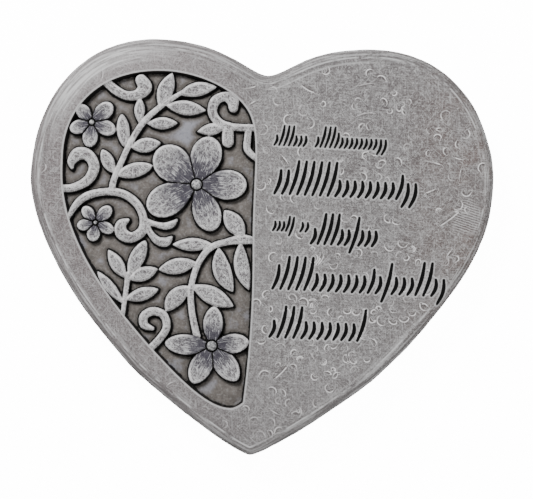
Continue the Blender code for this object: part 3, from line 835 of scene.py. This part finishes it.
def build_slab(relief, material):
    random = np.random.default_rng(RANDOM_SEED)
    heart = bezier_loop(mirrored(HEART_HALF), OUTLINE_GAP)
    count = len(heart)
    rim = relief.rim
    rim_count = len(rim)
    face_edge = offset_loop(heart, -SHOULDER)
    marks = face_marks(random, heart, rim)
    strokes = stroke_lines()

    placed, faces = triangles_between(
        face_spots(heart, rim, face_edge, marks, strokes), [(0, rim_count), (rim_count, count)],
        lambda x, y: (outline_distance(face_edge, x, y) < 0) & (outline_distance(rim, x, y) > 0))
    x, y = placed[:, 0], placed[:, 1]
    inset = -outline_distance(heart, x, y)
    rim_away = outline_distance(rim, x, y)
    stroke_away = strokes_distance(strokes, x, y)
    mark_away = marks_distance(marks, x, y)
    height = face_height(x, y, inset, rim_away, stroke_away, mark_away)
    height[:rim_count] = FACE - RIM_ROUND
    height[rim_count:rim_count + count] = FACE

    # Rings below the face, closed by the underside
    profile = slab_profile()
    rings, ink_rings = side_rings(heart, strokes, profile)
    total = len(placed)
    all_faces = faces.tolist()
    previous = rim_count
    for number in range(len(rings)):
        start = total + number * count
        all_faces += ring_faces(previous, start, count)
        previous = start
    all_faces += (loop_fill(rings[-1][:, :2])[:, ::-1] + previous).tolist()

    # The hidden bed under the panel piece
    bed_start = total + len(rings) * count
    bed = np.column_stack([rim, np.full(rim_count, BED)])
    all_faces += [(a, d, c, b) for a, b, c, d in ring_faces(0, bed_start, rim_count)]
    all_faces += (loop_fill(rim) + bed_start).tolist()

    whole = np.vstack([np.column_stack([x, y, height]), *rings, bed])
    clear = np.full(len(whole) - total, CLEAR)
    bed_clear = np.full(rim_count, CLEAR)
    # The sides and the underside count as inset 0
    ring_inset = [np.full(count, depth if level > UNDER_EDGE else 0.0) for depth, level in profile]
    values = {
        "ink_away": np.clip(np.concatenate([stroke_away, *ink_rings, bed_clear]), -3, CLEAR),
        "mark_away": np.concatenate([mark_away, clear]),
        "rim_away": np.concatenate([np.clip(rim_away, 0, CLEAR), clear]),
        "inset": np.concatenate([np.clip(inset, 0, 60), *ring_inset, np.zeros(rim_count)]),
    }
    sharp = [(0, rim_count), (bed_start, rim_count)]
    return make_piece("stone_slab", whole, all_faces, sharp, values, material)


# Materials

# Directions in degrees and width in millimetres of the fine scratches
SCRATCH_ANGLES = (4.0, 41.0, -52.0, 84.0)
SCRATCH_WIDTH = 0.6
# Scale of the brush fibres' noise along them and across them
FIBRE_SCALE = (0.12, 1.3)
# Colour of the wash in the flowers' middles, and screen levels of the black inks
PETAL_WASH = (0.043, 0.039, 0.054, 1.0)
STROKE_BLACK = 3
PANEL_BLACK = 8
# Places on the sheet
PALE_CLOUD = (-47.0, 71.0)
PALE_CORNER = (-88.0, 116.0)
# Middle of the painted highlight on the upper left of the shoulder
HIGHLIGHT_CORNER = (-106.0, 106.0)
BRUSHED_PATCH = (127.5, 26.5)


def gray(level, red=0.0, blue=0.0):
    """Linear colour of a gray given as a screen value from 0 to 255, with a tint."""
    share = level / 255.0
    linear = ((share + 0.055) / 1.055) ** 2.4 if share > 0.04 else share / 12.92
    return (linear * (1 + red), linear, linear * (1 + blue), 1.0)


class Nodes:
    """Short calls for building a node tree, and a colour that is laid on in coats."""

    def __init__(self, name):
        self.material = bpy.data.materials.new(name)
        self.material.use_nodes = True
        self.tree = self.material.node_tree
        self.shader = self.tree.nodes["Principled BSDF"]

    def fill(self, node, inputs):
        """Set a node's inputs to constants, or link them."""
        for key, source in inputs.items():
            if isinstance(source, (int, float, tuple)):
                node.inputs[key].default_value = source
            else:
                self.tree.links.new(source, node.inputs[key])

    def node(self, kind, inputs, output=0, **settings):
        node = self.tree.nodes.new(kind)
        for key, setting in settings.items():
            setattr(node, key, setting)
        self.fill(node, inputs)
        return node.outputs[output]

    def place(self):
        """Work out the object coordinates in millimetres."""
        place = {"Vector": self.node("ShaderNodeTexCoord", {}, "Object"), "Scale": (1000.0,) * 3}
        self.spot = self.node("ShaderNodeMapping", place)
        self.x, self.y = self.axes(self.spot)

    def value(self, name):
        return self.node("ShaderNodeAttribute", {}, "Fac", attribute_name=name)

    def turned(self, angle_deg, scale, shift=0.0):
        """The place turned about Z, then stretched."""
        turn = {"Vector": self.spot, "Rotation": (0.0, 0.0, radians(angle_deg))}
        stretch = {"Vector": self.node("ShaderNodeMapping", turn), "Scale": (*scale, 1.0),
                   "Location": (0.0, 0.0, shift)}
        return self.node("ShaderNodeMapping", stretch)

    def noise(self, size, detail, roughness, distortion=0.0, vector=None):
        """Soft noise about 0.5, with spots of about the size given."""
        return self.node("ShaderNodeTexNoise", {
            "Vector": self.spot if vector is None else vector, "Scale": 1.0 / size,
            "Detail": detail, "Roughness": roughness, "Distortion": distortion}, "Fac")

    def remap(self, value, low, high, to_low=0.0, to_high=1.0):
        return self.node("ShaderNodeMapRange", {
            "Value": value, "From Min": low, "From Max": high, "To Min": to_low, "To Max": to_high})

    def line(self, value, centre, half, soft, strength=1.0):
        """Full strength where a value is within half of a centre, gone beyond soft."""
        away = self.math("ABSOLUTE", self.math("SUBTRACT", value, centre))
        return self.remap(away, half + soft, half, 0.0, strength)

    def axes(self, vector):
        node = self.tree.nodes.new("ShaderNodeSeparateXYZ")
        self.fill(node, {0: vector})
        return node.outputs[0], node.outputs[1]

    def combine(self, x, y, z):
        return self.node("ShaderNodeCombineXYZ", {0: x, 1: y, 2: z})

    def math(self, operation, a, b=0.0):
        return self.node("ShaderNodeMath", {0: a, 1: b}, operation=operation)

    def times(self, *values):
        product = values[0]
        for value in values[1:]:
            product = self.math("MULTIPLY", product, value)
        return product

    def near(self, middle):
        squares = [self.math("POWER", self.math("SUBTRACT", axis, at), 2.0)
                   for axis, at in zip((self.x, self.y), middle)]
        return self.math("SQRT", self.math("ADD", *squares))

    def mix(self, share, a, b):
        return self.node("ShaderNodeMix", {0: share, 6: a, 7: b}, 2, data_type="RGBA")

    def coat(self, colour, *shares):
        """Lay a colour over what is painted so far, as thick as the product of the shares."""
        self.colour = self.mix(self.times(*shares), self.colour, colour)

    def scratches(self, length, low, high, share, level):
        """Lay on thin scratches in each of their directions."""
        for index, angle in enumerate(SCRATCH_ANGLES):
            place = self.turned(angle, (1.0 / length, 1.0 / SCRATCH_WIDTH), 7.0 * index)
            fibres = self.noise(1.0, 2.0, 0.6, 0.3, place)
            self.coat(gray(level), self.remap(fibres, low, high), share)

    def finish(self, roughness, height, distance):
        """Give the shader the colour and a fine bump."""
        bump = {"Strength": 0.5, "Distance": distance, "Height": height}
        self.fill(self.shader, {
            "Base Color": self.colour, "Roughness": roughness, "Specular IOR Level": 0.2,
            "Normal": self.node("ShaderNodeBump", bump)})
        return self.material


def face_material():
    """Cast gray of the slab: face, shoulder, sides and underside."""
    n = Nodes("cast_concrete_face")
    n.place()
    clouds = n.noise(10.0, 2.0, 0.5, 0.3)
    mottle = n.noise(5.0, 3.0, 0.6, 0.3)
    speckle = n.noise(1.6, 2.0, 0.7)
    # The right half is brushed most, the tip and the left border least
    busy = n.times(n.remap(n.x, -25.0, 15.0, 0.3, 1.0), n.remap(n.y, -100.0, -60.0, 0.4, 1.0))
    paint_ground(n, clouds, mottle)
    paint_brushing(n, clouds, mottle, speckle, busy)
    paint_shoulder(n)
    # Raised marks with pale ridges, a pale line along the rim of the panel and the black strokes
    faint = n.times(n.remap(n.noise(8.0, 2.0, 0.5), 0.42, 0.54, 0.35, 0.85),
                    n.remap(busy, 0.3, 0.8, 0.6, 1.0))
    mark_away, ink_away = n.value("mark_away"), n.value("ink_away")
    # Painted shade on the hollow side of each raised mark
    n.coat(gray(66, 0.16, -0.05), n.line(mark_away, -0.85, 0.3, 0.5), faint, 0.6)
    n.coat(gray(242, 0.02), n.line(mark_away, 0.0, 0.20, 0.22), faint)
    n.coat(gray(206), n.line(n.value("rim_away"), 0.6, 0.2, 0.5, 0.65))
    n.coat(gray(212), n.line(ink_away, 0.7, 0.15, 0.4, 0.5))
    n.coat(gray(STROKE_BLACK), n.remap(ink_away, 0.24, 0.08))
    return n.finish(0.88, n.math("ADD", n.times(speckle, 0.5), mottle), 0.0006)


def paint_ground(n, clouds, mottle):
    """Grays that change slowly over the stone, with cloudy and grainy coats."""
    patches = n.noise(28.0, 2.0, 0.5)
    grain = n.noise(0.8, 1.0, 0.5)
    n.colour = n.mix(n.remap(patches, 0.42, 0.60), gray(105, 0.09), gray(96, 0.11))
    n.coat(gray(110, 0.17), n.remap(n.x, 0.0, -60.0))
    beside_panel = n.times(n.remap(n.x, 55.0, 10.0), n.remap(n.x, -12.0, 0.0, 0.0, 0.6))
    n.coat(gray(128, 0.06), n.math("MAXIMUM", n.remap(n.y, 30.0, -60.0, 0.0, 0.45), beside_panel))
    n.coat(gray(95, 0.34, -0.10), n.remap(n.x, 80.0, 130.0), n.remap(patches, 0.42, 0.56, 0.35, 1.0))
    n.coat(gray(154, 0.09, 0.01), n.remap(n.near(PALE_CORNER), 80.0, 15.0, 0.0, 0.65))
    n.coat(gray(132, 0.03), n.remap(clouds, 0.50, 0.38, 0.0, 0.35))
    n.coat(gray(156, 0.05), n.remap(grain, 0.50, 0.68, 0.0, 0.5))
    n.coat(gray(78, 0.10), n.remap(grain, 0.48, 0.32, 0.0, 0.6))
    n.coat(gray(86, 0.08), n.remap(mottle, 0.50, 0.64, 0.0, 0.2))


def paint_brushing(n, clouds, mottle, speckle, busy):
    """Crossed brush fibres, specks, scratches and veins, and a patch of wavy lines."""
    for angle, shift, share in ((2.0, 0.0, 0.20), (86.0, 5.0, 0.13)):
        fibres = n.noise(1.0, 2.0, 0.6, 0.2, n.turned(angle, FIBRE_SCALE, shift))
        n.coat(gray(176), busy, n.remap(fibres, 0.52, 0.62, 0.0, share))
        n.coat(gray(80, 0.06), busy, n.remap(fibres, 0.48, 0.38, 0.0, share))
    n.coat(gray(196), busy, n.remap(speckle, 0.60, 0.64, 0.0, 0.35))
    n.scratches(8.0, 0.62, 0.64, 0.28, 206)
    veins = n.line(n.noise(4.0, 3.0, 0.65, 0.8), 0.5, 0.006, 0.020)
    n.coat(gray(204), veins, busy, n.remap(mottle, 0.46, 0.56, 0.0, 0.5))
    across = n.axes(n.turned(16.0, (1.0, 1.0)))[1]
    wave = n.math("SINE", n.math("ADD", n.times(across, 4.2), n.times(mottle, 6.0)))
    patch = n.remap(n.math("ADD", n.near(BRUSHED_PATCH), n.times(clouds, 12.0)), 17.5, 13.5)
    n.coat(gray(188, 0.02), patch, n.remap(wave, 0.3, 0.9), 0.8)
    n.coat(gray(84, 0.14, -0.04), patch, n.remap(wave, -0.2, -0.9), 0.4)


def paint_shoulder(n):
    """Streaks and pale lines that run along the edge, the shoulder painted lighter on its left towards
    the light, and a painted highlight at the upper left.
    """
    inset = n.value("inset")
    around = n.combine(inset, n.times(n.x, 0.04), n.times(n.y, 0.04))
    streaks = n.noise(1.3, 2.0, 0.6, 0.0, around)
    broken = n.remap(n.noise(11.0, 2.0, 0.6), 0.44, 0.56)
    # Painted light: the shoulder is made paler on its left, where it faces the light, than on its right
    lit_left_shoulder = n.times(n.remap(inset, 6.0, 4.0), n.remap(n.x, 90.0, 20.0))
    n.coat(gray(126, 0.06), lit_left_shoulder, 0.3)
    # Streaked near the edge, but not on the side, where the inset is 0
    streaked = n.times(n.remap(inset, 11.0, 5.0), n.remap(inset, 0.1, 1.2))
    n.coat(gray(186), streaked, n.remap(streaks, 0.53, 0.60, 0.0, 0.6))
    n.coat(gray(82, 0.08), streaked, n.remap(streaks, 0.47, 0.40, 0.0, 0.5))
    # Painted highlight on the shoulder at the upper left, where it faces the light
    corner = n.remap(n.near(HIGHLIGHT_CORNER), 55.0, 20.0)
    n.coat(gray(220), n.line(inset, 9.0, 2.5, 5.0), corner, n.remap(streaks, 0.44, 0.54, 0.3, 1.0), 0.8)
    n.coat(gray(204), n.line(inset, 6.4, 0.15, 0.5), broken, 0.8)
    crease = n.times(n.line(inset, 9.8, 0.15, 0.6), n.remap(n.x, 75.0, 55.0), n.remap(n.x, -2.0, 4.0))
    n.coat(gray(206), crease, n.remap(n.y, 88.0, 96.0), 0.5)


def panel_material():
    """Ground, relief and black wash of the sunk panel, with painted shade, painted shadow and painted
    highlights that follow the side of the light.
    """
    n = Nodes("cast_concrete_panel")
    n.place()
    edge, lee = n.value("edge"), n.value("lee")
    patches = n.noise(13.0, 3.0, 0.6)
    mottle = n.noise(4.0, 4.0, 0.65)
    speckle = n.noise(1.5, 2.0, 0.7)

    # Brownish ground, with paler clouds away from the forms
    n.colour = n.mix(n.remap(mottle, 0.42, 0.60), gray(108, 0.11, -0.08), gray(94, 0.11, -0.09))
    cloud = n.math("MAXIMUM", n.remap(n.near(PALE_CLOUD), 15.0, 6.0),
                   n.remap(patches, 0.50, 0.60, 0.0, 0.6))
    n.coat(gray(142, 0.0, 0.12), n.remap(edge, 2.4, 4.8), cloud)
    n.coat(gray(160), n.remap(speckle, 0.56, 0.63, 0.0, 0.25))
    n.coat(gray(62, 0.03, -0.03), n.remap(speckle, 0.43, 0.37, 0.0, 0.25))
    ground = n.colour

    paint_tops(n, edge, lee, patches, mottle, speckle)
    petal_hairs = paint_petals(n, edge, lee, mottle)
    n.colour = n.mix(n.remap(edge, 0.15, -0.05), ground, n.colour)
    paint_wash_and_shadow(n, edge, lee, mottle)
    bead = n.mix(n.remap(speckle, 0.45, 0.56), gray(116, 0.0, 0.06), gray(204))
    n.colour = n.mix(n.remap(n.value("bead_away"), 0.05, -0.25), n.colour, bead)
    height = n.math("ADD", n.math("ADD", n.times(speckle, 0.6), mottle), petal_hairs)
    return n.finish(0.85, height, 0.0007)


def paint_tops(n, edge, lee, patches, mottle, speckle):
    """Tops of all forms: darker in their middle and on the side away from the light."""
    n.colour = n.mix(n.remap(mottle, 0.42, 0.58), gray(118, 0.08, 0.04), gray(100, 0.10, 0.04))
    n.coat(gray(120, 0.10, -0.02), n.value("scroll"), 0.6)
    n.coat(gray(94, 0.09, 0.06), n.remap(edge, -0.9, -2.6), n.remap(patches, 0.42, 0.56, 0.4, 0.85))
    # Painted shade: the side of each form away from the light is darkened
    n.coat(gray(84, 0.10, 0.03), n.remap(lee, 0.1, 0.9), n.remap(edge, -3.2, -1.0), 0.45)
    n.coat(gray(226), n.line(edge, -1.5, 0.1, 0.35), n.remap(patches, 0.58, 0.48, 0.0, 0.7))
    n.coat(gray(192), n.remap(speckle, 0.54, 0.62, 0.0, 0.35))
    n.coat(gray(82, 0.03, 0.03), n.remap(speckle, 0.45, 0.38, 0.0, 0.2))
    n.scratches(4.5, 0.575, 0.605, 0.6, 220)


def paint_petals(n, edge, lee, mottle):
    """Hairy dark wash in the flowers' middles, and the pale edges of all forms: pale paint, made
    stronger on the side towards the light as a painted highlight.
    """
    petal, out = n.value("petal"), n.value("out")
    place = n.combine(n.times(n.value("along"), 0.22), n.times(n.value("across"), 1.5),
                      n.times(petal, 3.0))
    hairs = n.noise(1.0, 2.0, 0.6, 0.4, place)
    ragged = n.math("ADD", out, n.remap(hairs, 0.35, 0.65, -0.10, 0.10))
    n.coat(PETAL_WASH, petal, n.remap(ragged, 0.82, 0.32), 0.92)
    flecks = n.remap(hairs, 0.58, 0.62)
    n.coat(gray(214, 0.0, 0.02), petal, flecks, n.remap(out, 0.2, 0.6, 0.45, 0.7))
    outer = n.math("MAXIMUM", n.math("SUBTRACT", 1.0, petal), n.remap(out, 0.35, 0.65))
    # Painted highlight over pale paint: the edges are palest on the side of a form towards the light
    pale_edge_and_highlight = n.times(outer, n.remap(lee, 0.7, -0.5, 0.3, 1.0), n.remap(mottle, 0.42, 0.56, 0.35, 1.0))
    n.coat(gray(240, 0.02), n.line(edge, -0.7, 0.25, 0.5, 0.85), pale_edge_and_highlight)
    return n.times(hairs, petal)


def paint_wash_and_shadow(n, edge, lee, mottle):
    """Black wash around the forms, along the rim and round the beads, widened as a painted shadow on
    the side away from the light.
    """
    rim, bead = n.value("rim_away"), n.value("bead_away")
    ragged = n.remap(mottle, 0.36, 0.64, -0.35, 0.45)
    # Painted shadow: the wash reaches further on the side of each form, and of the rim, away from the
    # light
    wash_and_shadow_reach = n.math("ADD", edge, n.math("SUBTRACT", ragged, n.times(lee, 0.35)))
    rim_wash_and_shadow_reach = n.math("ADD", rim, n.math("SUBTRACT", n.times(n.value("rim_lee"), 0.5), ragged))
    beside = n.remap(edge, -0.15, 0.15, 0.2, 1.0)
    # Soft dark halo and black line round the forms and along the rim: partly real black wash, partly
    # painted shadow that is wider away from the light; then the black ring round each bead
    for shares in (
            (n.remap(wash_and_shadow_reach, 3.2, 1.2, 0.0, 0.5), n.remap(edge, -0.02, 0.10)),
            (n.remap(wash_and_shadow_reach, 1.45, 1.05), n.remap(edge, -0.05, 0.10, 0.0, 0.98)),
            (n.remap(rim_wash_and_shadow_reach, -3.0, -1.5, 0.0, 0.35), beside),
            (n.remap(rim_wash_and_shadow_reach, -1.65, -1.25), n.remap(rim, -0.1, -0.30, 0.0, 0.98), beside),
            (n.line(bead, 0.55, 0.45, 0.25, 0.95),)):
        n.coat(gray(PANEL_BLACK, 0.03, -0.03), *shares)


def floor_material():
    """Plain pale floor that glows as white as the photo's background."""
    n = Nodes("pale_floor")
    n.fill(n.shader, {
        "Base Color": (0.92, 0.92, 0.92, 1.0), "Roughness": 0.9,
        "Emission Color": (1.0, 1.0, 1.0, 1.0), "Emission Strength": FLOOR_GLOW})
    return n.material


# Stage, light and camera, in metres

FLOOR_SIZE = 6.0
FLOOR_GLOW = 14.0
FLOOR_GAP = 0.0001
ROOM_GLOW = 0.34
# Lamps: place, size and power
KEY_LAMP = ((-0.45, 0.75, 0.90), 0.30, 18.5)
FILL_LAMP = ((0.75, -0.6, 0.6), 0.9, 5.5)
CAMERA_LENS = 100.0
CAMERA_SENSOR = 36.0
CAMERA_ROLL_DEG = 2.65
PHOTO_WIDTH_PX = 533
# Scale of the photo, and the place on the sheet in its middle
MM_PER_PX = 0.62421
CAMERA_AIM = (4.66, 0.42)


def add_floor():
    """Floor just under the stone, so that the two don't flicker; its glow lights it alone."""
    bpy.ops.mesh.primitive_plane_add(size=FLOOR_SIZE, location=(0, 0, CAD_LOW.z - FLOOR_GAP))
    floor = bpy.context.object
    floor.name = "floor"
    floor.data.materials.append(floor_material())
    lit_by_floor = bpy.data.collections.new("lit_by_floor")
    lit_by_floor.objects.link(floor)
    floor.light_linking.receiver_collection = lit_by_floor


def add_lamp(name, place, size, power):
    data = bpy.data.lights.new(name, "AREA")
    data.shape = "DISK"
    data.size = size
    data.energy = power
    lamp = bpy.data.objects.new(name, data)
    lamp.location = place
    lamp.rotation_euler = (-Vector(place)).to_track_quat("-Z", "Y").to_euler()
    bpy.context.scene.collection.objects.link(lamp)


def add_world():
    world = bpy.data.worlds.new("soft_room")
    bpy.context.scene.world = world
    world.use_nodes = True
    background = world.node_tree.nodes["Background"]
    background.inputs["Color"].default_value = (1.0, 1.0, 1.0, 1.0)
    background.inputs["Strength"].default_value = ROOM_GLOW


def add_camera():
    """Camera straight above, at the height where the shoulder has the photo's scale."""
    data = bpy.data.cameras.new("camera")
    data.lens = CAMERA_LENS
    data.sensor_width = CAMERA_SENSOR
    camera = bpy.data.objects.new("camera", data)
    seen = PHOTO_WIDTH_PX * MM_PER_PX * 0.001
    height = seen * CAMERA_LENS / CAMERA_SENSOR
    camera.location = (CAMERA_AIM[0] * METRES_X, CAMERA_AIM[1] * METRES_Y,
                       CAD_HIGH.z - SHOULDER * METRES_Z + height)
    camera.rotation_euler = (0.0, 0.0, radians(CAMERA_ROLL_DEG))
    bpy.context.scene.collection.objects.link(camera)
    bpy.context.scene.camera = camera


def main():
    relief = Relief()
    pieces = [build_panel(relief, panel_material()), build_slab(relief, face_material())]
    for piece in pieces:
        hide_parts("heart_stone")
        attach(piece, "root")
        print(piece.name, "triangles", sum(len(p.vertices) - 2 for p in piece.data.polygons))
    add_floor()
    add_world()
    add_lamp("key", *KEY_LAMP)
    add_lamp("fill", *FILL_LAMP)
    add_camera()


main()
